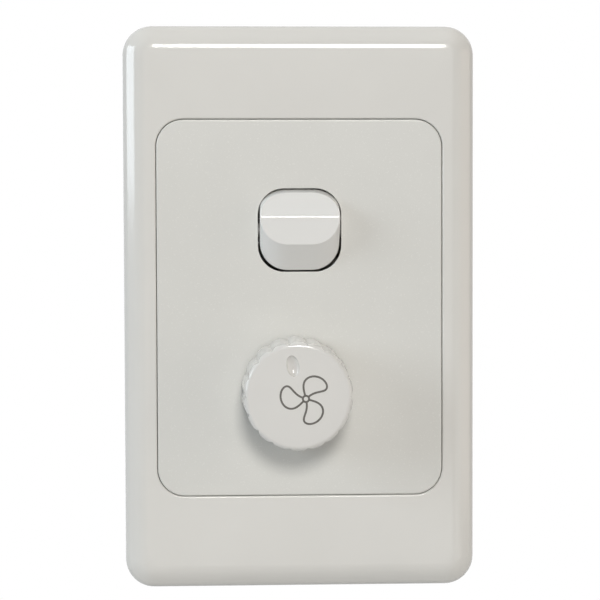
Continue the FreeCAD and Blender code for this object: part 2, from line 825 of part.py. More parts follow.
def rocker_button():
    half = "button_width / 2"
    far = "rocker_opening"
    end_outline = outline(
        [
            ("-" + half, "-" + half, "button_corner"),
            (half, "-" + half, "button_corner"),
            (half, far),
            ("-" + half, far),
        ]
    )
    end_sketch = turned_sketch(
        "button_end_outline", "90 + rocker_tilt", [end_outline], "0",
        "-pivot_drop * cos(rocker_tilt)", "-pivot_drop * sin(rocker_tilt)",
    )
    leaning = extruded(
        "button_end_lean", end_sketch,
        ("0", "-cos(end_lean - rocker_tilt)", "sin(end_lean - rocker_tilt)"),
        "2 * ridge_reach",
    )
    straight = extruded(
        "button_end_straight", end_sketch,
        ("0", "cos(rocker_tilt)", "sin(rocker_tilt)"), "pivot_drop",
    )
    lower = fuse("button_lower", leaning, straight)
    upper = doc.addObject("Part::Mirroring", "button_upper")
    upper.Source = lower
    upper.Normal = Vector(0, 0, 1)
    slope = "tan(rocker_tilt)"
    cap = new_profile(
        "button_cap", "button_width",
        [
            ("-ridge_reach", "0"),
            ("-ridge_reach + %s * %s" % (slope, far), far),
            ("-button_rear", far),
            ("-button_rear", "-" + far),
            ("-ridge_reach + %s * %s" % (slope, far), "-" + far),
        ],
    )
    fillet(cap, "button_ridge", cap.Tip, at_depth("ridge_reach"), "ridge_round")
    form = shared("button_form", lower, upper, cap)
    doc.recompute()
    rounded = doc.addObject("Part::Fillet", "button_rounded")
    rounded.Base = form
    rounded.Edges = [
        (index + 1, number("button_round"), number("button_round"))
        for index, edge in enumerate(form.Shape.Edges)
        if bounds_flats(edge)
    ]
    inner = "button_width / 2 - button_wall"
    hollow = new_profile(
        "button_hollow", "2 * (%s)" % inner,
        [
            ("ridge_wall - ridge_reach", "0"),
            ("ridge_wall - ridge_reach + %s * hollow_flat" % slope, "hollow_flat"),
            ("-pivot_drop / 2", inner),
            ("0", inner),
            ("0", "-(%s)" % inner),
            ("-pivot_drop / 2", "-(%s)" % inner),
            ("ridge_wall - ridge_reach + %s * hollow_flat" % slope, "-hollow_flat"),
        ],
    )
    shell = cut("button_shell", rounded, hollow)
    stem = rod(
        "button_stem", "stem_radius", "stem_rear + stem_bore_top + button_wall",
        "rearward", "0", "stem_bore_top + button_wall",
    )
    webs = block(
        "button_web", "2 * (%s) + button_wall" % inner, "stem_bore_top", "button_wall",
        "0", "stem_bore_top + button_wall / 2",
    )
    pieces = [shell, stem, webs]
    for side, name in ((-1, "left"), (1, "right")):
        edge = inner if side > 0 else "-button_width / 2"
        pieces.append(rod("ear_" + name, "ear_radius", "button_wall", "across", edge))
        pieces.append(
            block(
                "ear_root_" + name, "button_wall", "ear_radius + button_rear",
                "2 * ear_radius", "%d * (button_width / 2 - button_wall / 2)" % side,
                "ear_radius + button_rear",
            )
        )
        start = inner if side > 0 else "-trunnion_reach"
        pieces.append(
            rod(
                "trunnion_" + name, "trunnion_radius",
                "trunnion_reach - (%s)" % inner, "across", start,
            )
        )
    solid = fuse("button_solid", *pieces)
    bore = rod(
        "stem_bore", "plunger_radius + plunger_room", "stem_bore_top + 2 * stem_rear",
        "rearward", "0", "stem_bore_top",
    )
    return lean(cut("rocker_button", solid, bore))


def on_flats(point):
    """Whether a point of the upright button lies on one of its two front flats."""
    front = number("ridge_reach") - math.tan(math.radians(number("rocker_tilt"))) * abs(point.z)
    return abs(-point.y - front) < 0.001


def bounds_flats(edge):
    """Whether an edge of the upright button lies round its flats, not along the ridge."""
    box = edge.BoundBox
    from_ridge = max(abs(box.ZMin), abs(box.ZMax))
    along_ridge = box.XLength > number("ridge_round") > from_ridge
    return not along_ridge and all(on_flats(vertex.Point) for vertex in edge.Vertexes)


def new_profile(name, width, corners):
    """An outline in the plane across X, extruded evenly to both sides."""
    body = new_body(name)
    feature = pad(body, name + "_solid", "0", width, outline(corners), plane="side")
    feature.Midplane = True
    return body


def lean(item):
    """Moves a piece drawn about the rocker's pivot to its rest, switched off."""
    turn(item, "across", "-rocker_tilt")
    return put(item, "0", "pivot_depth", "rocker_place")


def rocker_plunger():
    length = "plunger_top + plunger_reach - plunger_radius"
    shank = rod("plunger_shank", "plunger_radius", length, "rearward", "0", "plunger_top")
    tip = ball("plunger_tip", "plunger_radius", "0", "plunger_radius - plunger_reach")
    return lean(fuse("rocker_plunger", shank, tip))


def plunger_spring():
    length = "stem_bore_top - plunger_top - 2 * spring_room - spring_wire"
    coil = "plunger_radius - spring_room - spring_wire / 2"
    start = "(stem_bore_top - spring_room - spring_wire / 2)"
    return spring(
        "plunger_spring", coil, length, "3", "-90 - rocker_tilt", "0",
        "pivot_depth + %s * cos(rocker_tilt)" % start,
        "rocker_place + %s * sin(rocker_tilt)" % start,
    )


def rocker_housing():
    body = new_body("rocker_housing")
    place = "rocker_place"
    pad(
        body, "housing_block", "-mech_rear", "mech_front + mech_rear",
        rectangle("mech_width", "mech_height", "0", place, "mech_corner"),
    )
    pocket(
        body, "chamber", "mech_front", "mech_front + chamber_rear",
        rectangle("mech_width - 2 * mech_wall", "mech_height - 2 * mech_wall", "0", place),
    )
    steps = [terminal_step(index) for index in (-1, 0, 1)]
    wall = "(mech_width / 2 - mech_wall)"
    seat = "(terminal_width / 2 + terminal_room)"
    pocket(
        body, "terminal_bays", "-chamber_rear", "mech_rear - chamber_rear",
        *[
            rectangle(
                "%s + %s" % (wall, seat), "terminal_height + 2 * terminal_room",
                "(%s - %s) / 2" % (seat, wall), step,
            )
            for step in steps
        ],
    )
    pocket(
        body, "screw_bays", "-chamber_rear", "mech_rear - chamber_rear",
        *[rectangle("2 * " + wall, "2 * (clamp_head + clip_room)", "0", step) for step in steps],
    )
    pad(
        body, "terminal_stops", "-mech_rear", "mech_rear - chamber_rear",
        *[
            rectangle(
                "%s - %s" % (wall, seat), "stop_thick", "-(%s + %s) / 2" % (wall, seat), step
            )
            for step in steps
        ],
    )
    pocket(
        body, "pivot_holes", "mech_width / 2", "mech_width",
        circle("trunnion_radius + running_room", "-pivot_depth", place), plane="side",
    )
    pocket(
        body, "screw_ways", "mech_width / 2", "mech_wall",
        *[circle("access_radius", "clamp_middle", step) for step in steps],
        plane="side",
    )
    clip_notches(body, "housing_notches", "mech_width / 2", "0", place)
    return body


def terminal_step(index):
    return "rocker_place + %d * terminal_pitch" % index


# Inside the rocker mechanism: three brass terminals. The middle one carries the
# rocking contact arm, and the outer two carry a fixed contact each.


def rocker_terminal(label, index):
    body = new_body(label)
    step = terminal_step(index)
    pad(
        body, label + "_block", "-terminal_rear", "terminal_rear - terminal_front",
        rectangle("terminal_width", "terminal_height", "0", step),
    )
    if index == 0:
        pad(
            body, label + "_blade", "-terminal_front", "terminal_front + bead_depth",
            rectangle("blade_width", "2 * bead_radius", "0", step),
        )
        bead = pad(
            body, label + "_bead", "0", "blade_width",
            circle("bead_radius", "-bead_depth", step), plane="side",
        )
        bead.Midplane = True
    else:
        contact = "rocker_place + %d * contact_place" % index
        pad(
            body, label + "_blade", "-terminal_front",
            "terminal_front + fixed_contact - contact_height",
            rectangle("blade_width", "2 * contact_radius", "0", contact),
        )
        pad(
            body, label + "_contact", "fixed_contact - contact_height", "contact_height",
            circle("contact_radius", "0", contact),
        )
    pocket(
        body, label + "_wire_hole", "wire_length - terminal_rear", "wire_length",
        circle("wire_radius", "-wire_shift", step),
    )
    pocket(
        body, label + "_screw_hole", "terminal_width / 2",
        "terminal_width / 2 + wire_shift",
        circle("clamp_radius", "clamp_middle", step), plane="side",
    )
    return body


def contact_arm():
    end = "arm_length / 2"
    rise = "arm_length / 2 * tan(arm_rise)"
    rear = "-(bead_sink)"
    front = "-(bead_sink + arm_thick)"
    strip = new_profile(
        "arm_strip", "arm_width",
        [
            (rear, "0"),
            (rear + " - " + rise, end),
            (front + " - " + rise, end),
            (front, "0"),
            (front + " - " + rise, "-" + end),
            (rear + " - " + rise, "-" + end),
        ],
    )
    top = "bead_sink + contact_place * tan(arm_rise) + arm_thick / 2"
    contacts = [
        rod(
            "arm_contact_" + name, "contact_radius", "contact_height + arm_thick / 2",
            "rearward", "0", top, "%d * contact_place" % side,
        )
        for side, name in ((-1, "low"), (1, "high"))
    ]
    seat = rod(
        "arm_seat", "bead_radius + running_room", "arm_width", "across",
        "-arm_width / 2",
    )
    arm = cut("contact_arm", fuse("arm_solid", strip, *contacts), seat)
    turn(arm, "across", "arm_tilt")
    return put(arm, "0", "bead_depth", "rocker_place")


def screw(name, shank, head, axis, across, depth, upward, headward):
    """A slotted screw. The shank starts at the place, and the head is at the end of
    it that the headward sign names on the axis."""
    shank_radius, shank_length = shank
    head_radius, head_height, slot = head
    offsets = {"across": across, "rearward": depth, "up": upward}
    sign = {"across": "+", "rearward": "-", "up": "+"}[axis]

    def along(distance):
        moved = dict(offsets)
        moved[axis] = "(%s) %s (%s)" % (offsets[axis], sign, distance)
        return moved["across"], moved["rearward"], moved["up"]

    if headward > 0:
        starts = ("0", shank_length, "%s + %s / 2" % (shank_length, head_height))
    else:
        starts = (
            "-(%s)" % shank_length,
            "-(%s) - %s" % (shank_length, head_height),
            "-(%s) - %s" % (shank_length, head_height),
        )
    body = rod(name + "_shank", shank_radius, shank_length, axis, *along(starts[0]))
    top = rod(name + "_head", head_radius, head_height, axis, *along(starts[1]))
    solid = fuse(name + "_solid", body, top)
    wide = "3 * (%s)" % head_radius
    deep = "(%s) / 2" % head_height
    place = along(starts[2])
    if axis == "across":
        groove = block(
            name + "_slot", deep, slot, wide,
            "(%s) + (%s) / 4" % (place[0], head_height),
            "(%s) + (%s) / 2" % (place[1], slot), place[2],
        )
    elif axis == "rearward":
        groove = block(name + "_slot", wide, deep, slot, *place)
    else:
        groove = block(
            name + "_slot", wide, slot, deep, place[0],
            "(%s) + (%s) / 2" % (place[1], slot),
            "(%s) + (%s) / 4" % (place[2], head_height),
        )
    return cut(name, solid, groove)


def rocker_clamp_screws():
    tip = "wire_radius - wire_shift + contact_gap"
    length = "terminal_width / 2 + clamp_travel - (%s)" % tip
    screws = [
        screw(
            "rocker_clamp_%s" % name, ("clamp_radius - running_room", length),
            ("clamp_head", "clamp_head_height", "clamp_slot"),
            "across", tip, "-clamp_middle", terminal_step(index), 1,
        )
        for index, name in ((-1, "low"), (0, "middle"), (1, "high"))
    ]
    return fuse("rocker_clamp_screws", *screws)


# The controller: a case with a lid behind it, and the rotary switch with its board.


def corners(across, upward):
    return [
        (
            "rotary_across + %d * (%s)" % (side, across),
            "rotary_place + %d * (%s)" % (end, upward),
        )
        for side in (-1, 1)
        for end in (-1, 1)
    ]


def pillar_places():
    return corners("case_width / 2 - pillar_inset", "case_height / 2 - pillar_inset")


def case_outline():
    return rectangle("case_width", "case_height", "rotary_across", "rotary_place", "mech_corner")


def case_hollow_outline():
    return rectangle(
        "case_width - 2 * case_wall", "case_height - 2 * case_wall", "rotary_across", "rotary_place"
    )


def controller_case():
    body = new_body("controller_case")
    pad(body, "case_block", "-case_split", "case_split + panel_rear", case_outline())
    pad(
        body, "case_boss", "case_hollow", "boss_front - case_hollow",
        rectangle("boss_width", "boss_width", "rotary_across", "rotary_place", "boss_corner"),
    )
    pocket(
        body, "case_inside", "case_hollow", "case_hollow + case_split",
        case_hollow_outline(),
    )
    edge = "detent_block_edge"
    top = "(case_height / 2 - case_wall / 2)"
    pad(
        body, "detent_housing", "-detent_block_rear", "detent_block_rear + case_hollow",
        rectangle(
            "detent_block", "%s - %s" % (top, edge), "rotary_across",
            "rotary_place + (%s + %s) / 2" % (top, edge),
        ),
    )
    pocket(
        body, "detent_bore", "detent_end", "detent_bore_end - detent_block_edge",
        circle("detent_radius + plunger_room", "rotary_across", "-rotor_middle"),
        plane="level",
    )
    pad(
        body, "wafer_posts", "-wafer_front", "wafer_front + case_hollow",
        *[
            circle("post_radius", *place)
            for place in corners(
                "wafer_width / 2 - post_inset", "wafer_height / 2 - post_inset"
            )
        ],
    )
    pad(
        body, "case_pillars", "-case_split", "case_split + case_hollow",
        *[circle("pillar_radius", *place) for place in pillar_places()],
    )
    pocket(
        body, "pilot_holes", "cover_screw_length - cover_seat - case_split + clip_room",
        "cover_screw_length - cover_seat + clip_room",
        *[circle("cover_screw", *place) for place in pillar_places()],
    )
    pocket(
        body, "bush_hole", "boss_front", "boss_front - case_hollow",
        circle("bush_radius", "rotary_across", "rotary_place"),
    )
    clip_notches(body, "case_notches", "case_width / 2", "rotary_across", "rotary_place")
    return body


def supply_places():
    return [
        (
            "rotary_across + %d * supply_spacing / 2" % side,
            "rotary_place + supply_place",
        )
        for side in (-1, 1)
    ]


def rear_cover():
    body = new_body("rear_cover")
    pad(body, "cover_block", "-case_rear", "case_rear - case_split", case_outline())
    pocket(
        body, "cover_inside", "-case_split", "case_rear - case_split - case_wall",
        case_hollow_outline(),
    )
    pad(
        body, "cover_pillars", "-case_rear", "case_rear - case_split",
        *[circle("cover_pillar", *place) for place in pillar_places()],
    )
    pocket(
        body, "screw_holes", "-case_split", "cover_seat",
        *[circle("cover_screw + running_room", *place) for place in pillar_places()],
    )
    pocket(
        body, "head_ways", "-case_split - cover_seat", "case_rear",
        *[circle("cover_screw_head + clip_room", *place) for place in pillar_places()],
    )
    bay_top = "(terminal_width / 2 + terminal_room)"
    bay_height = "(%s + supply_place + case_height / 2 + case_wall)" % bay_top
    pocket(
        body, "terminal_bays", "-case_split", "case_rear - case_split",
        *[
            rectangle(
                "terminal_height + 2 * terminal_room", bay_height, across,
                "%s + %s - %s / 2" % (upward, bay_top, bay_height),
            )
            for across, upward in supply_places()
        ],
    )
    return body


def cover_screws():
    screws = [
        screw(
            "cover_screw_%d" % index, ("cover_screw - running_room", "cover_screw_length"),
            ("cover_screw_head", "cover_screw_head_height", "clamp_slot"),
            "rearward", place[0], "cover_screw_length - cover_seat - case_split",
            place[1], 1,
        )
        for index, place in enumerate(pillar_places())
    ]
    return fuse("cover_screws", *screws)


def threaded_bush():
    body = new_body("threaded_bush")
    start = "case_hollow - bush_flange_thick"
    bore = circle("shaft_radius + running_room", "rotary_across", "rotary_place")
    pad(
        body, "bush_collar", start, "bush_flange_thick",
        circle("bush_flange", "rotary_across", "rotary_place"), bore,
    )
    pad(
        body, "bush_barrel", start,
        "nut_rear + nut_thick + bush_proud - (%s)" % start,
        circle("bush_radius", "rotary_across", "rotary_place"), bore,
    )
    return body


def bush_washer():
    body = new_body("bush_washer")
    pad(
        body, "washer_ring", "boss_front", "washer_thick",
        circle("washer_radius", "rotary_across", "rotary_place"),
        circle("bush_radius", "rotary_across", "rotary_place"),
    )
    return body


def bush_nut():
    body = new_body("bush_nut")
    corner = "nut_size / (2 * cos(30))"
    hexagon = [
        (
            "rotary_across + %s * cos(%d)" % (corner, angle),
            "rotary_place + %s * sin(%d)" % (corner, angle),
        )
        for angle in range(0, 360, 60)
    ]
    pad(
        body, "nut_ring", "nut_rear", "nut_thick",
        outline(hexagon), circle("bush_radius", "rotary_across", "rotary_place"),
    )
    return body


def on_axis(body, angle="0"):
    """Moves a piece drawn about the Y axis to the control shaft, turned clockwise."""
    turn(body, "rearward", angle)
    return put(body, "rotary_across", "0", "rotary_place")


def control_shaft():
    body = new_body("control_shaft")
    pad(body, "shaft_rod", "-shaft_rear", "shaft_rear + shaft_front", circle("shaft_radius"))
    beyond = rectangle(
        "shaft_radius", "3 * shaft_radius", "shaft_flat + shaft_radius / 2"
    )
    pocket(body, "front_flat", "shaft_front", "flat_length", beyond)
    pocket(body, "rotor_flat", "rotor_front", "rotor_front + rotor_rear", beyond)
    pocket(
        body, "ring_groove", "clip_ring_front", "clip_ring_thick",
        circle("2 * shaft_radius"), circle("groove_radius"),
    )
    return on_axis(body)


def retaining_ring():
    body = new_body("retaining_ring")
    pad(
        body, "ring_disc", "clip_ring_front - clip_ring_thick", "clip_ring_thick",
        circle("clip_ring_radius"), circle("groove_radius"),
    )
    pocket(
        body, "ring_mouth", "clip_ring_front", "clip_ring_thick",
        rectangle(
            "ring_mouth", "clip_ring_radius", "0",
            "-clip_ring_radius / 2 - ring_mouth_place",
        ),
    )
    return on_axis(body)


def switch_rotor():
    body = new_body("switch_rotor")
    length = "rotor_rear + rotor_front"
    pad(
        body, "rotor_disc", "-rotor_rear", length,
        circle("rotor_radius"), circle("shaft_radius"),
    )
    pad(
        body, "rotor_key", "-rotor_rear", length,
        rectangle(
            "shaft_radius - shaft_flat + clip_room", "2 * shaft_radius",
            "shaft_flat + (shaft_radius - shaft_flat + clip_room) / 2",
        ),
    )
    notch_radius = "(detent_radius + clip_room)"
    notch = pocket(
        body, "detent_notch_first", "rotor_front", length,
        circle(
            notch_radius, "0", "rotor_radius + %s - detent_notch" % notch_radius
        ),
    )
    places = int(number("speed_count")) + 1
    polar(
        body, "detent_notches", [notch], "Y_Axis",
        number("speed_step * speed_count"), places, reverse=True,
    )
    return on_axis(body)


def wiper():
    body = new_body("wiper")
    start = "-rotor_rear - wiper_thick"
    pad(
        body, "wiper_ring", start, "wiper_thick",
        circle("wiper_radius"), circle("shaft_radius"),
    )
    inner = "(shaft_radius + wiper_radius) / 2"
    outer = "(finger_radius + dimple_radius)"
    pad(
        body, "wiper_finger", start, "wiper_thick",
        rectangle(
            "finger_width", "%s - %s" % (outer, inner), "0",
            "(%s + %s) / 2" % (outer, inner),
        ),
    )
    pad(
        body, "wiper_dimples", start + " - dimple_radius", "dimple_radius",
        circle("dimple_radius", "0", "finger_radius"),
        circle("dimple_radius", "0", "-(ring_inner + ring_outer) / 2"),
    )
    return on_axis(body, "off_angle")


def contact_places():
    return [
        (
            "rotary_across + finger_radius * sin(off_angle + %d * speed_step)" % step,
            "rotary_place + finger_radius * cos(off_angle + %d * speed_step)" % step,
        )
        for step in range(1, int(number("speed_count")) + 1)
    ]


def tail_places():
    return [
        ("rotary_across", "rotary_place + %d * (ring_inner + ring_outer) / 2" % end)
        for end in (-1, 1)
    ]


def contact_wafer():
    body = new_body("contact_wafer")
    pad(
        body, "wafer_sheet", "-wafer_front - wafer_thick", "wafer_thick",
        rectangle("wafer_width", "wafer_height", "rotary_across", "rotary_place"),
    )
    pocket(
        body, "wafer_holes", "-wafer_front", "wafer_thick",
        circle("shaft_radius + running_room", "rotary_across", "rotary_place"),
        *[circle("rivet_shank", *place) for place in contact_places() + tail_places()],
    )
    return body


def speed_contact(index, place):
    label = "speed_contact_%d" % (index + 1)
    head = rod(
        label + "_head", "rivet_radius", "rivet_head", "rearward",
        place[0], "rivet_head - wafer_front", place[1],
    )
    tail = rod(
        label + "_tail", "rivet_shank", "board_front - wafer_front", "rearward",
        place[0], "-wafer_front", place[1],
    )
    return fuse(label, head, tail)


def common_contact():
    body = new_body("common_contact")
    pad(
        body, "contact_ring", "-wafer_front", "rivet_head",
        circle("ring_outer", "rotary_across", "rotary_place"),
        circle("ring_inner", "rotary_across", "rotary_place"),
    )
    pad(
        body, "contact_tails", "-board_front", "board_front - wafer_front",
        *[circle("rivet_shank", *place) for place in tail_places()],
    )
    return body


def detent_ball():
    return ball(
        "detent_ball", "detent_radius", "rotary_across", "rotor_middle", "ball_place"
    )


def detent_spring():
    start = "ball_place + detent_radius + spring_room + spring_wire / 2"
    return spring(
        "detent_spring", "detent_radius - spring_room - spring_wire / 2",
        "detent_end - spring_room - spring_wire / 2 - (%s)" % start, "3", "0",
        "rotary_across", "rotor_middle", start,
    )


def circuit_board():
    body = new_body("circuit_board")
    width = "case_width - 2 * case_wall - 2 * board_room"
    height = "case_height - 2 * case_wall - 2 * board_room"
    pad(
        body, "board_sheet", "board_rear", "board_thick",
        rectangle(width, height, "rotary_across", "rotary_place"),
    )
    pocket(
        body, "board_notches", "-board_front", "board_thick",
        *[
            rectangle("2 * board_corner", "2 * board_corner", *place)
            for place in corners("(%s) / 2" % width, "(%s) / 2" % height)
        ],
    )
    return body


def capacitor(label, name):
    body = new_body(label)
    box = pad(
        body, label + "_box", "board_rear - %s_length" % name, "%s_length" % name,
        rectangle(
            "%s_width" % name, "%s_height" % name, "rotary_across",
            "rotary_place + %s_place" % name, "edge_round * 2",
        ),
    )
    fillet(
        body, label + "_edge", box, at_depth("board_rear - %s_length" % name),
        "edge_round",
    )
    return body


def bleed_resistor():
    place = "rotary_place + resistor_place"
    depth = "board_rear - resistor_lift"
    pieces = [
        rod("resistor_body", "resistor_radius", "resistor_length", "across",
            "rotary_across - resistor_length / 2", depth, place),
        rod("resistor_lead", "lead_radius", "lead_spacing", "across",
            "rotary_across - lead_spacing / 2", depth, place),
    ]
    for side, name in ((-1, "left"), (1, "right")):
        pieces.append(
            rod("lead_" + name, "lead_radius", "resistor_lift + 2 * lead_radius",
                "rearward", "rotary_across + %d * lead_spacing / 2" % side,
                "board_rear", place)
        )
    return fuse("bleed_resistor", *pieces)


def supply_terminal(label, place):
    body = new_body(label)
    across, upward = place
    pad(
        body, label + "_block", "-supply_rear", "supply_rear - supply_front",
        rectangle("terminal_height", "terminal_width", across, upward),
    )
    pad(
        body, label + "_leg", "-supply_front", "supply_front + board_rear",
        rectangle("supply_leg", "2 * bead_radius", across, upward),
    )
    pocket(
        body, label + "_wire_hole", "wire_length - supply_rear", "wire_length",
        circle("wire_radius", across, upward + " + wire_shift"),
    )
    pocket(
        body, label + "_screw_hole", upward + " + wire_shift",
        "terminal_width / 2 + wire_shift",
        circle("clamp_radius", across, "supply_middle"), plane="level",
    )
    return body


def supply_clamp_screws():
    tip = "wire_radius - wire_shift + contact_gap"
    length = "terminal_width / 2 + clamp_travel - (%s)" % tip
    screws = [
        screw(
            "supply_clamp_%d" % index, ("clamp_radius - running_room", length),
            ("clamp_head", "clamp_head_height", "clamp_slot"),
            "up", across, "-supply_middle", upward + " - (%s)" % tip, -1,
        )
        for index, (across, upward) in enumerate(supply_places())
    ]
    return fuse("supply_clamp_screws", *screws)


# The push-on knob: a domed shell with grip lobes round its side, and a hub inside it
# that takes the flat of the shaft.


def knob():
    cone = doc.addObject("Part::Cone", "knob_cone")
    rise = "(knob_face + 2 * knob_crown - knob_base)"
    tie(cone, "Radius1", "knob_radius + clip_room")
    tie(cone, "Radius2", "knob_cap")
    tie(cone, "Height", rise)
    cone.Placement.Rotation = Rotation(Vector(0, 0, 1), Vector(0, -1, 0))
    put(cone, "0", "knob_base")
    dome_radius = "((knob_radius ^ 2 + knob_crown ^ 2) / (2 * knob_crown))"
    dome = ball("knob_dome", dome_radius, "0", "knob_face + knob_crown - " + dome_radius)
    form = shared("knob_form", cone, dome)
    doc.recompute()
    rounded = doc.addObject("Part::Fillet", "knob_rounded")
    rounded.Base = form
    front = number("knob_face - knob_round")
    rounded.Edges = [
        (index + 1, number("knob_round"), number("knob_round"))
        for index, edge in enumerate(form.Shape.Edges)
        if -edge.BoundBox.YMax > front and edge.BoundBox.XLength > number("knob_radius")
    ]
    lobes = new_body("knob_lobes")
    length = "knob_face + 2 * knob_crown - knob_base"
    pad(
        lobes, "lobe_core", "knob_base", length,
        circle("knob_radius - lobe_radius / 4"), taper="-knob_draft",
    )
    lobe = pad(
        lobes, "lobe", "knob_base", length,
        circle("lobe_radius", "0", "knob_radius - lobe_radius"), taper="-knob_draft",
    )
    polar(lobes, "lobe_ring", [lobe], "Y_Axis", 360, int(number("lobe_count")))
    gripped = shared("knob_gripped", rounded, lobes)
    inner = "knob_radius - knob_wall"
    roof = "(knob_face - knob_roof)"
    cavity = rod(
        "knob_cavity", inner, roof + " - knob_base", "rearward", "0", roof
    )
    shell = cut("knob_shell", gripped, cavity)
    pieces = [shell]
    pieces.append(
        rod("knob_hub", "hub_radius", "knob_face - knob_roof / 2 - hub_rear",
            "rearward", "0", "knob_face - knob_roof / 2")
    )
    rib_length = roof + " - hub_rear - 2 * rib_thick"
    pieces.append(
        block("knob_rib_level", "2 * (%s) + rib_thick" % inner, rib_length, "rib_thick",
              "0", roof)
    )
    pieces.append(
        block("knob_rib_upright", "rib_thick", rib_length,
              "2 * (%s) + rib_thick" % inner, "0", roof)
    )
    solid = fuse("knob_solid", *pieces)
    bore = rod(
        "knob_bore", "shaft_radius", "shaft_front + clip_room - hub_rear", "rearward",
        "0", "shaft_front + clip_room",
    )
    beyond = block(
        "knob_bore_flat", "shaft_radius", "shaft_front", "3 * shaft_radius",
        "shaft_flat + shaft_radius / 2", "shaft_front + 2 * clip_room",
    )
    socket = cut("knob_socket", bore, beyond)
    pointer = doc.addObject("Part::Ellipsoid", "knob_pointer")
    tie(pointer, "Radius1", "dimple_long")
    tie(pointer, "Radius2", "dimple_wide")
    tie(pointer, "Radius3", "dimple_deep")
    turn(pointer, "rearward", "off_angle")
    local = "knob_face + knob_crown * (1 - (dimple_place / knob_radius) ^ 2)"
    put(
        pointer, "dimple_place * sin(off_angle)", local,
        "dimple_place * cos(off_angle)",
    )
    hollow = fuse("knob_hollows", socket, pointer)
    finished = cut("knob", solid, hollow)
    return put(finished, "rotary_across", "0", "rotary_place")


PIECES = [
    surround(),
    grid_plate(),
    rocker_button(),
    rocker_plunger(),
    plunger_spring(),
    rocker_housing(),
    contact_arm(),
    rocker_terminal("common_terminal", 0),
    rocker_terminal("upper_terminal", 1),
    rocker_terminal("lower_terminal", -1),
    rocker_clamp_screws(),
    controller_case(),
    rear_cover(),
    cover_screws(),
    threaded_bush(),
    bush_washer(),
    bush_nut(),
    control_shaft(),
    retaining_ring(),
    switch_rotor(),
    wiper(),
    contact_wafer(),
    common_contact(),
    detent_ball(),
    detent_spring(),
    circuit_board(),
    capacitor("large_capacitor", "cap"),
    capacitor("small_capacitor", "small_cap"),
    bleed_resistor(),
    supply_terminal("line_terminal", supply_places()[0]),
    supply_terminal("fan_terminal", supply_places()[1]),
    supply_clamp_screws(),
    knob(),
]
PIECES += [speed_contact(*entry) for entry in enumerate(contact_places())]

doc.recompute()
for item in doc.Objects:
    faults = {"Invalid", "Error"} & set(item.State)
    if faults:
        raise RuntimeError("%s did not rebuild" % item.Label)
for piece in PIECES:
    piece.Label = piece.Name
    if piece.Shape.isNull() or not piece.Shape.isValid():
        raise RuntimeError("%s has no sound solid" % piece.Label)
    piece.Shape.exportStep("parts/%s.step" % piece.Label)
    print(
        "%-22s %d solid(s) %10.2f mm3" % (piece.Label, len(piece.Shape.Solids), piece.Shape.Volume)
    )
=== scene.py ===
import json
import math

import bmesh
import bpy
from mathutils import Matrix, Vector
from mathutils.bvhtree import BVHTree


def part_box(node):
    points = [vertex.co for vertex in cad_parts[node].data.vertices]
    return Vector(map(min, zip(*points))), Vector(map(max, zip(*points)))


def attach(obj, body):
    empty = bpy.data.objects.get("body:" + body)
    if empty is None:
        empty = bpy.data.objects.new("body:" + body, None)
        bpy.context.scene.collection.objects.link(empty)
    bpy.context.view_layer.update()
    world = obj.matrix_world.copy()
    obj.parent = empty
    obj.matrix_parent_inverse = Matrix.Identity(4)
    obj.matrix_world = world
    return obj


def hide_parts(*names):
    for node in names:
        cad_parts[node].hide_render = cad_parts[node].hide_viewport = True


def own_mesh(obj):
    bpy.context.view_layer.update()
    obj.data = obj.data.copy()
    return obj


MM = 0.001
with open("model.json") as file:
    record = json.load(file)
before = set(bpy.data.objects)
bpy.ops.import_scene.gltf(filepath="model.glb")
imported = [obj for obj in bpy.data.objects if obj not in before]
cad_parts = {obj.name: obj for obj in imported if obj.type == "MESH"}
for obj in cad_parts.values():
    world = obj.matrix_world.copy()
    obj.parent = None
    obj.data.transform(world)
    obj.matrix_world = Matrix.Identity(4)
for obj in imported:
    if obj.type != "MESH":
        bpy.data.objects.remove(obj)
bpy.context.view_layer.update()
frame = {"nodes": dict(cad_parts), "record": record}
nodes = frame["nodes"]
scene = bpy.context.scene


def add_object(name, mesh):
    """An object of the scene with the given name and mesh."""
    item = bpy.data.objects.new(name, mesh)
    scene.collection.objects.link(item)
    return item


def shade(red, green, blue):
    """A colour written as it looks on screen, from 0 to 255, as linear numbers."""
    linear = []
    for level in (red, green, blue):
        level = level / 255
        if level <= 0.04045:
            linear.append(level / 12.92)
        else:
            linear.append(((level + 0.055) / 1.055) ** 2.4)
    return (*linear, 1.0)


# Materials. Each has a coarse drift of tone, a fine grain in its roughness and a bump.
# Their sizes are in millimetres.

NOISE_RANGE = (0.3, 0.7)
COAT_ROUGHNESS = 0.1
WEAVE_SIZE = 0.5
WEAVE_GRAIN = 0.4
WEAVE_ROUGHNESS = (0.3, 0.45)
WEAVE_BUMP = 0.01
WEAVE_STRENGTH = 0.3


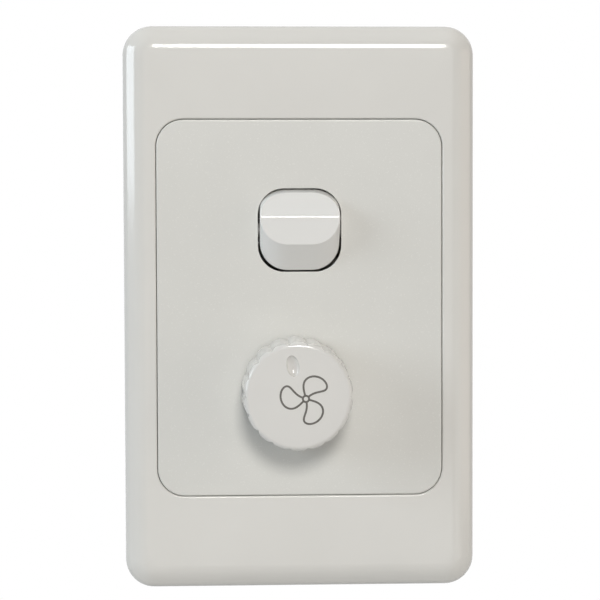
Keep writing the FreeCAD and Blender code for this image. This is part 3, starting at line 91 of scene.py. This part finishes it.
class Sheet:
    """A material's node tree, with short calls for the nodes used here."""

    def __init__(self, name):
        self.material = bpy.data.materials.new(name)
        self.material.use_nodes = True
        self.tree = self.material.node_tree
        self.shader = self.tree.nodes["Principled BSDF"]
        place = self.node("ShaderNodeTexCoord")
        self.place = place.outputs["Object"]

    def node(self, kind, **settings):
        """A new node of the given kind with the given settings."""
        item = self.tree.nodes.new(kind)
        for key, value in settings.items():
            setattr(item, key, value)
        return item

    def link(self, start, end):
        self.tree.links.new(start, end)

    def noise(self, size, detail=3.0, stretch=None):
        """Noise whose features are about the given size in millimetres."""
        source = self.place
        if stretch:
            scaled = self.node("ShaderNodeMapping")
            scaled.inputs["Scale"].default_value = stretch
            self.link(source, scaled.inputs["Vector"])
            source = scaled.outputs["Vector"]
        texture = self.node("ShaderNodeTexNoise")
        texture.inputs["Scale"].default_value = 1 / (size * MM)
        texture.inputs["Detail"].default_value = detail
        self.link(source, texture.inputs["Vector"])
        return texture.outputs["Fac"]

    def spread(self, source, low, high):
        """The noise's middle range spread evenly from low to high."""
        ranged = self.node("ShaderNodeMapRange")
        ranged.inputs["From Min"].default_value = NOISE_RANGE[0]
        ranged.inputs["From Max"].default_value = NOISE_RANGE[1]
        ranged.inputs["To Min"].default_value = low
        ranged.inputs["To Max"].default_value = high
        self.link(source, ranged.inputs["Value"])
        return ranged.outputs["Result"]

    def mix(self, factor, first, second):
        """The first colour where the factor is 0, and the second where it is 1."""
        blend = self.node("ShaderNodeMix", data_type="RGBA")
        self.link(factor, blend.inputs["Factor"])
        blend.inputs["A"].default_value = first
        blend.inputs["B"].default_value = second
        return blend.outputs["Result"]

    def bump(self, source, depth, strength):
        """Bumps of the given depth in millimetres, put on the shader."""
        bump = self.node("ShaderNodeBump")
        bump.inputs["Distance"].default_value = depth * MM
        bump.inputs["Strength"].default_value = strength
        self.link(source, bump.inputs["Height"])
        self.link(bump.outputs["Normal"], self.shader.inputs["Normal"])


def tinted(color, factor):
    """The colour made lighter or darker by a factor."""
    return (*[min(1.0, channel * factor) for channel in color[:3]], 1.0)


def finish(
    name, color, rough, drift=0.012, drift_size=14.0, grain=0.35, bump=0.003,
    metallic=0.0, stretch=None, coat=0.0, strength=0.3, spread=0.04,
):
    """A material with a drift of tone, a varied roughness and a fine bump."""
    sheet = Sheet(name)
    shader = sheet.shader
    drifting = sheet.spread(sheet.noise(drift_size, 4.0), 0.0, 1.0)
    tone = sheet.mix(drifting, tinted(color, 1 - drift), tinted(color, 1 + drift))
    sheet.link(tone, shader.inputs["Base Color"])
    fine = sheet.noise(grain, 4.0, stretch)
    roughness = sheet.spread(fine, rough - spread, rough + spread)
    sheet.link(roughness, shader.inputs["Roughness"])
    sheet.bump(fine, bump, strength)
    shader.inputs["Metallic"].default_value = metallic
    if coat:
        shader.inputs["Coat Weight"].default_value = coat
        shader.inputs["Coat Roughness"].default_value = COAT_ROUGHNESS
    return sheet.material


def fibreboard(name, color, pale):
    """Laminate board with the faint square weave of its glass cloth."""
    sheet = Sheet(name)
    shader = sheet.shader
    weave = sheet.node("ShaderNodeTexChecker")
    weave.inputs["Scale"].default_value = 1 / (WEAVE_SIZE * MM)
    sheet.link(sheet.place, weave.inputs["Vector"])
    tone = sheet.mix(weave.outputs["Fac"], color, pale)
    sheet.link(tone, shader.inputs["Base Color"])
    fine = sheet.noise(WEAVE_GRAIN)
    sheet.link(sheet.spread(fine, *WEAVE_ROUGHNESS), shader.inputs["Roughness"])
    sheet.bump(weave.outputs["Fac"], WEAVE_BUMP, WEAVE_STRENGTH)
    return sheet.material


FINISHES = {
    "surround_white": finish("surround_white", shade(217, 216, 211), 0.13, spread=0.02),
    "plate_white": finish("plate_white", shade(213, 213, 208), 0.26, spread=0.02),
    "rocker_white": finish("rocker_white", shade(227, 227, 224), 0.12, spread=0.02),
    "knob_white": finish("knob_white", shade(217, 216, 212), 0.13, spread=0.02),
    "nylon": finish("nylon", shade(226, 223, 210), 0.45),
    "mechanism_white": finish("mechanism_white", shade(222, 222, 217), 0.5, grain=0.25),
    "case_white": finish("case_white", shade(218, 217, 212), 0.5, grain=0.25),
    "shaft_nylon": finish("shaft_nylon", shade(222, 219, 206), 0.42),
    "rotor_black": finish("rotor_black", shade(34, 34, 36), 0.45, grain=0.2),
    "spring_steel": finish(
        "spring_steel", shade(176, 176, 180), 0.3, metallic=1.0, grain=0.1
    ),
    "screw_steel": finish(
        "screw_steel", shade(186, 184, 176), 0.34, metallic=1.0, grain=0.15
    ),
    "washer_steel": finish(
        "washer_steel", shade(182, 182, 180), 0.32, metallic=1.0, grain=0.15
    ),
    "ball_steel": finish("ball_steel", shade(196, 196, 200), 0.12, metallic=1.0),
    "contact_brass": finish(
        "contact_brass", shade(205, 170, 96), 0.3, metallic=1.0, grain=0.12,
        stretch=(1.0, 1.0, 8.0),
    ),
    "terminal_brass": finish(
        "terminal_brass", shade(201, 168, 98), 0.34, metallic=1.0, grain=0.15,
        stretch=(1.0, 8.0, 1.0),
    ),
    "bush_brass": finish(
        "bush_brass", shade(197, 168, 104), 0.32, metallic=1.0, grain=0.12
    ),
    "wafer_brown": fibreboard("wafer_brown", shade(142, 96, 58), shade(152, 106, 66)),
    "board_green": fibreboard("board_green", shade(44, 104, 62), shade(52, 114, 70)),
    "capacitor_film": finish("capacitor_film", shade(214, 186, 62), 0.3, coat=0.3),
    "resistor_tan": finish("resistor_tan", shade(202, 178, 138), 0.35, coat=0.3),
}

for entry in frame["record"]["subparts"]:
    mesh = nodes[entry["node"]].data
    mesh.materials.clear()
    mesh.materials.append(FINISHES[entry["material_slot"]])


# The surround's skin again, with its face running softly into the sloping shoulder, and
# the edge of its window drawn in towards the panel. Lengths are in millimetres. Depths
# are measured inwards from the outline, and SOFT_REACH goes each way from the break.

FACE_FRONT = -8.5
PLATE_CORNER = 6.0
SHOULDER_RUN = 3.3
SHOULDER_DROP = 2.3
SOFT_REACH = 1.7
CUT_STEP = 0.4
ON_SKIN = 0.06
FACING_FRONT = -0.7
WELD_DISTANCE = 1e-7
SHARP_ANGLE = math.radians(28)
PLATE_HALF = [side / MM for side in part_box("surround")[1]]
WINDOW_HALF = (29.55, 0.0, 38.9)
WINDOW_CORNER = 5.85
WINDOW_RIM = 0.5
WINDOW_REAR = -6.5
WINDOW_DRAWN_IN = 0.14


def outside(place, half, corner):
    """How far outside a rounded outline a place is, in millimetres, and the way out."""
    across = abs(place.x) / MM - half[0] + corner
    upward = abs(place.z) / MM - half[2] + corner
    if across > 0 and upward > 0:
        way = Vector((across, 0, upward))
    elif across > upward:
        way = Vector((across, 0, 0))
    else:
        way = Vector((0, 0, upward))
    reach = way.length if max(across, upward) > 0 else max(across, upward)
    way.normalize()
    way.x = math.copysign(way.x, place.x)
    way.z = math.copysign(way.z, place.z)
    return reach - corner, way


def cut_skin(form, axis, reach):
    """Cuts the front skin in two at the given reach along an axis."""
    place = Vector((0, 0, 0))
    place[axis] = reach * MM
    normal = Vector((0, 0, 0))
    normal[axis] = 1
    skin = [
        face for face in form.faces
        if face.normal.y < FACING_FRONT
        and face.calc_center_median().y < (FACE_FRONT + SHOULDER_DROP) * MM
    ]
    edges = {edge for face in skin for edge in face.edges}
    corners = {corner for face in skin for corner in face.verts}
    bmesh.ops.bisect_plane(
        form, geom=[*corners, *edges, *skin], dist=WELD_DISTANCE,
        plane_co=place, plane_no=normal,
    )


def soft_surround():
    """The surround's mesh, cut finely along its shoulder and moved to a soft curve."""
    mesh = nodes["surround"].data.copy()
    mesh.name = "surround_shell"
    mesh.attributes.remove(mesh.attributes["custom_normal"])
    form = bmesh.new()
    form.from_mesh(mesh)
    slope = SHOULDER_DROP / SHOULDER_RUN
    first, last = SHOULDER_RUN - SOFT_REACH, SHOULDER_RUN + SOFT_REACH
    cuts = math.ceil((last - first) / CUT_STEP)
    for step in range(cuts + 1):
        depth = first + (last - first) * step / cuts
        for axis in (0, 2):
            for side in (-1, 1):
                cut_skin(form, axis, side * (PLATE_HALF[axis] - depth))
    for corner in form.verts:
        depth = -outside(corner.co, PLATE_HALF, PLATE_CORNER)[0]
        skin_level = FACE_FRONT + slope * max(0, SHOULDER_RUN - depth)
        if first < depth < last and abs(corner.co.y / MM - skin_level) < ON_SKIN:
            drop = slope / (4 * SOFT_REACH) * (last - depth) ** 2
            corner.co.y = (FACE_FRONT + drop) * MM
        reach, way = outside(corner.co, WINDOW_HALF, WINDOW_CORNER)
        if -ON_SKIN < reach < WINDOW_RIM and corner.co.y < WINDOW_REAR * MM:
            corner.co -= way * WINDOW_DRAWN_IN * MM
    wide = [face for face in form.faces if len(face.verts) > 3]
    bmesh.ops.triangulate(form, faces=wide)
    form.to_mesh(mesh)
    form.free()
    for polygon in mesh.polygons:
        polygon.use_smooth = True
    mesh.set_sharp_from_angle(angle=SHARP_ANGLE)
    return mesh


surround_shell = add_object("surround_shell", soft_surround())
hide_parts("surround")
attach(surround_shell, "wall_unit")


# The two springs, each copied into an object of its own.


def pressed_spring(node, body):
    """The spring again, copied as an object of its own with its own mesh, on the given
    body.
    """
    mesh = nodes[node].data.copy()
    coil = add_object(node + "_coil", mesh)
    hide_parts(node)
    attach(coil, body)
    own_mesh(coil)


pressed_spring("plunger_spring", "rocker")
pressed_spring("detent_spring", "wall_unit")


# The knob's printed pictogram: three outline blades round a small ring. Lengths are in
# millimetres, and places on the knob's face are measured from its middle.

KNOB_MIDDLE = Vector((-0.8, 0.0, -17.05)) * MM
IN_FRONT = 50.0
PRINT_PLACE = Vector((1.43, -0.4))
PRINT_LINE = 0.4
PRINT_RAISE = 0.015
HUB_RING = 0.62
BLADE_REACH = 5.1
BLADE_LEAN = math.radians(16)
BLADE_SPREAD = math.radians(40)
BLADE_CURL = 1.3
BLADE_FULLNESS = 0.7
BLADE_AXES = (48, 168, 288)
PRINT_STEPS = 72


def blade(axis):
    """The closed outline of one blade, from the hub ring out to its tip and back."""
    points = []
    for step in range(PRINT_STEPS + 1):
        turn = math.pi * step / PRINT_STEPS
        reach = HUB_RING + (BLADE_REACH - HUB_RING) * math.sin(turn) ** BLADE_FULLNESS
        lean = BLADE_LEAN + BLADE_SPREAD * math.cos(BLADE_CURL * turn)
        angle = math.radians(axis) + lean
        points.append(PRINT_PLACE + Vector((math.cos(angle), math.sin(angle))) * reach)
    return points


def hub_ring():
    """The closed circle at the middle of the pictogram."""
    points = []
    for step in range(PRINT_STEPS + 1):
        turn = 2 * math.pi * step / PRINT_STEPS
        points.append(PRINT_PLACE + Vector((math.cos(turn), math.sin(turn))) * HUB_RING)
    return points


knob_mesh = nodes["knob"].data
knob_surface = BVHTree.FromPolygons(
    [vertex.co for vertex in knob_mesh.vertices],
    [polygon.vertices for polygon in knob_mesh.polygons],
)


def on_face(point):
    """The place on the knob's face, just proud of it, of a point of the pictogram."""
    start = KNOB_MIDDLE + Vector((point.x, -IN_FRONT, point.y)) * MM
    place = knob_surface.ray_cast(start, Vector((0, 1, 0)))[0]
    return place - Vector((0, PRINT_RAISE * MM, 0))


def ribbon(points):
    """The two edges of a line of the print that follows the given points."""
    edges = []
    for index, point in enumerate(points):
        before = points[max(index - 1, 0)]
        after = points[min(index + 1, len(points) - 1)]
        along = (after - before).normalized()
        across = Vector((-along.y, along.x)) * PRINT_LINE / 2
        edges.append((on_face(point + across), on_face(point - across)))
    return edges


def pictogram():
    """The mesh of all the lines of the print."""
    vertices = []
    faces = []
    for path in [blade(axis) for axis in BLADE_AXES] + [hub_ring()]:
        start = len(vertices)
        for left, right in ribbon(path):
            vertices += [left, right]
        for step in range(len(path) - 1):
            corner = start + 2 * step
            faces.append((corner, corner + 1, corner + 3, corner + 2))
    mesh = bpy.data.meshes.new("fan_print")
    mesh.from_pydata(vertices, [], faces)
    grey = shade(92, 89, 84)
    ink = finish("print_grey", grey, 0.4, drift=0.08, drift_size=1.5, grain=0.15)
    mesh.materials.append(ink)
    return mesh


fan_print = add_object("fan_print", pictogram())
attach(fan_print, "rotary")


# The floor of the switching chamber, which closes the bays in front of the terminals
# but for a slot round each contact blade. Lengths are in millimetres, and a blade's
# levels are measured from the rocker's axis.

CHAMBER_FLOOR_FRONT = 11.5
CHAMBER_FLOOR_THICK = 1.0
HOUSING_WALL = 1.6
ROCKER_LEVEL = 16.0
SLOT_ROOM = 0.15
SLOT_ROOM_BELOW = 0.05
CONTACT_HALF = 2.0
CONTACT_LEVELS = {
    "lower_terminal": (-7.6, -5.4),
    "common_terminal": (-0.6, 0.6),
    "upper_terminal": (5.4, 7.6),
}


def slotted_strip(sides, levels, points, polygons):
    """Adds a strip, in cells between the given sides and levels, but for its slot."""
    start = len(points)
    for depth in (CHAMBER_FLOOR_FRONT, CHAMBER_FLOOR_FRONT + CHAMBER_FLOOR_THICK):
        for side in sides:
            for level in levels:
                points.append(Vector((side, depth, level)) * MM)

    def corner(layer, column, row):
        """The number of the point at a corner of a cell, in the front or rear layer."""
        return start + (layer * len(sides) + column) * len(levels) + row

    cells = [
        (column, row)
        for column in range(len(sides) - 1)
        for row in range(len(levels) - 1)
        if (column, row) != (1, 1)
    ]
    for column, row in cells:
        ring = [
            (column, row), (column + 1, row), (column + 1, row + 1), (column, row + 1)
        ]
        beside = [
            (column, row - 1), (column + 1, row), (column, row + 1), (column - 1, row)
        ]
        polygons.append([corner(0, *place) for place in ring])
        polygons.append([corner(1, *place) for place in reversed(ring)])
        for edge, other in enumerate(beside):
            if other not in cells:
                first, second = ring[edge], ring[(edge + 1) % 4]
                around = [(0, second), (0, first), (1, first), (1, second)]
                polygons.append([corner(layer, *place) for layer, place in around])


def slotted_floor():
    """The mesh of the floor: one strip across each terminal's bay."""
    points = []
    polygons = []
    inner_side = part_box("rocker_housing")[1][0] / MM - HOUSING_WALL
    slot_side = CONTACT_HALF + SLOT_ROOM
    sides = (-inner_side, -slot_side, slot_side, inner_side)
    for terminal, (contact_low, contact_high) in CONTACT_LEVELS.items():
        low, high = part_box(terminal)
        slot_low = ROCKER_LEVEL + contact_low - SLOT_ROOM_BELOW
        slot_high = ROCKER_LEVEL + contact_high + SLOT_ROOM
        levels = (low[2] / MM, slot_low, slot_high, high[2] / MM)
        slotted_strip(sides, levels, points, polygons)
    mesh = bpy.data.meshes.new("chamber_floor")
    mesh.from_pydata(points, [], polygons)
    mesh.materials.append(FINISHES["mechanism_white"])
    return mesh


chamber_floor = add_object("chamber_floor", slotted_floor())
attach(chamber_floor, "wall_unit")


# The stage: a pale floor well below the switch, and a white world. Places and sizes
# here and in the list of lamps are in metres, the paper's drift in millimetres.

FLOOR_LEVEL = -0.16
FLOOR_REACH = 0.43
FLOOR_SOLID = 0.4
FLOOR_SIDES = 96
FLOOR_GLOW = 0.35
PAPER_SHADES = (shade(206, 206, 206), shade(210, 210, 210))
PAPER_DRIFT = 40.0
PAPER_ROUGHNESS = 0.9
WHITE = (1.0, 1.0, 1.0)


def stage_floor():
    """A round sheet of paper that fades into the white around it.

    The camera and reflections see it a little brighter than it lights the switch.
    """
    mesh = bpy.data.meshes.new("floor")
    turns = [2 * math.pi * side / FLOOR_SIDES for side in range(FLOOR_SIDES)]
    rim = [
        (FLOOR_REACH * math.cos(turn), FLOOR_REACH * math.sin(turn), FLOOR_LEVEL)
        for turn in turns
    ]
    mesh.from_pydata(rim, [], [tuple(range(FLOOR_SIDES))])
    floor = add_object("floor", mesh)
    sheet = Sheet("floor_paper")
    shader = sheet.shader
    drifting = sheet.spread(sheet.noise(PAPER_DRIFT), 0.0, 1.0)
    sheet.link(sheet.mix(drifting, *PAPER_SHADES), shader.inputs["Base Color"])
    shader.inputs["Roughness"].default_value = PAPER_ROUGHNESS
    shader.inputs["Specular IOR Level"].default_value = 0.0
    rays = sheet.node("ShaderNodeLightPath")
    seen = sheet.node("ShaderNodeMath", operation="MAXIMUM")
    sheet.link(rays.outputs["Is Camera Ray"], seen.inputs[0])
    sheet.link(rays.outputs["Is Glossy Ray"], seen.inputs[1])
    glow_level = sheet.node("ShaderNodeMath", operation="MULTIPLY")
    sheet.link(seen.outputs[0], glow_level.inputs[0])
    glow_level.inputs[1].default_value = FLOOR_GLOW
    glow = sheet.node("ShaderNodeEmission")
    sheet.link(glow_level.outputs[0], glow.inputs["Strength"])
    paper = sheet.node("ShaderNodeAddShader")
    sheet.link(shader.outputs[0], paper.inputs[0])
    sheet.link(glow.outputs[0], paper.inputs[1])
    distance = sheet.node("ShaderNodeVectorMath", operation="LENGTH")
    sheet.link(sheet.place, distance.inputs[0])
    fade = sheet.node("ShaderNodeMapRange", interpolation_type="SMOOTHSTEP")
    fade.inputs["From Min"].default_value = FLOOR_SOLID * FLOOR_REACH
    fade.inputs["From Max"].default_value = FLOOR_REACH
    sheet.link(distance.outputs["Value"], fade.inputs["Value"])
    clear = sheet.node("ShaderNodeBsdfTransparent")
    both = sheet.node("ShaderNodeMixShader")
    sheet.link(fade.outputs["Result"], both.inputs["Fac"])
    sheet.link(paper.outputs[0], both.inputs[1])
    sheet.link(clear.outputs[0], both.inputs[2])
    output = sheet.tree.nodes["Material Output"]
    sheet.link(both.outputs[0], output.inputs["Surface"])
    mesh.materials.append(sheet.material)


def white_world(diffuse_level):
    """A world that looks white, and lights the switch at the given level."""
    world = bpy.data.worlds.new("studio")
    world.use_nodes = True
    tree = world.node_tree
    background = tree.nodes["Background"]
    rays = tree.nodes.new("ShaderNodeLightPath")
    mirrored = tree.nodes.new("ShaderNodeMath")
    mirrored.operation = "MAXIMUM"
    seen = tree.nodes.new("ShaderNodeMath")
    seen.operation = "MAXIMUM"
    tree.links.new(rays.outputs["Is Camera Ray"], mirrored.inputs[0])
    tree.links.new(rays.outputs["Is Glossy Ray"], mirrored.inputs[1])
    tree.links.new(mirrored.outputs[0], seen.inputs[0])
    tree.links.new(rays.outputs["Is Transmission Ray"], seen.inputs[1])
    level = tree.nodes.new("ShaderNodeMapRange")
    level.inputs["To Min"].default_value = diffuse_level
    tree.links.new(seen.outputs[0], level.inputs["Value"])
    tree.links.new(level.outputs["Result"], background.inputs["Strength"])
    background.inputs["Color"].default_value = (*WHITE, 1.0)
    scene.world = world


def lamp(name, place, size, power, color, mirrored):
    """A soft square lamp that faces the switch, mirrored in its gloss or not."""
    light = bpy.data.lights.new(name, "AREA")
    light.shape = "SQUARE"
    light.size = size
    light.energy = power
    light.color = color
    holder = bpy.data.objects.new(name, light)
    holder.location = place
    holder.visible_glossy = mirrored
    holder.rotation_euler = (-Vector(place)).to_track_quat("-Z", "Y").to_euler()
    scene.collection.objects.link(holder)


WORLD_LEVEL = 0.05
# Each lamp's name, place, size, power in watts, colour, and whether gloss mirrors it.
LAMPS = (
    ("top", (0.0, 0.12, 1.3), 0.5, 4.5, WHITE, False),
    ("high_front", (0.06, -1.2, 0.5), 0.3, 8.5, (1.0, 0.97, 0.94), True),
    ("left_window", (-1.2, -0.4, 0.34), 0.6, 8.0, (0.84, 0.92, 1.0), True),
    ("front", (0.0, -1.4, 0.05), 0.9, 1.7, (1.0, 0.96, 0.92), True),
    ("right", (1.2, -0.4, 0.1), 0.7, 2.3, (1.0, 0.88, 0.78), True),
    ("low_right", (0.9, -0.95, -0.1), 0.6, 1.1, (0.97, 1.0, 0.97), True),
    ("rear_left", (-0.8, 1.1, 0.15), 0.7, 5.5, WHITE, False),
    ("rear_right", (0.8, 1.1, 0.15), 0.7, 5.5, WHITE, False),
)

stage_floor()
white_world(WORLD_LEVEL)
for entry in LAMPS:
    lamp(*entry)
scene.view_settings.view_transform = "Standard"


# The camera, placed where the photograph was taken from.

CAMERA_PLACE = Vector((-13.6, -358.5, 14.7)) * MM
YAW = math.radians(2.233)
PITCH = math.radians(-2.136)
ROLL = math.radians(-0.18)
FOCAL_PX = 1705.5
FRAME_PX = 600
SENSOR_WIDTH = 36.0
CLIP_NEAR = 0.01
CLIP_FAR = 50.0

camera_data = bpy.data.cameras.new("camera")
camera_data.sensor_width = SENSOR_WIDTH
camera_data.lens = FOCAL_PX / FRAME_PX * SENSOR_WIDTH
camera_data.clip_start = CLIP_NEAR
camera_data.clip_end = CLIP_FAR
camera = bpy.data.objects.new("camera", camera_data)
forward = Vector(
    (math.sin(YAW) * math.cos(PITCH), math.cos(YAW) * math.cos(PITCH), math.sin(PITCH))
)
level_right = Vector((math.cos(YAW), -math.sin(YAW), 0.0))
level_up = level_right.cross(forward)
right = math.cos(ROLL) * level_right + math.sin(ROLL) * level_up
upward = -math.sin(ROLL) * level_right + math.cos(ROLL) * level_up
turned = Matrix((right, upward, -forward)).transposed()
camera.matrix_world = Matrix.Translation(CAMERA_PLACE) @ turned.to_4x4()
scene.collection.objects.link(camera)
scene.camera = camera
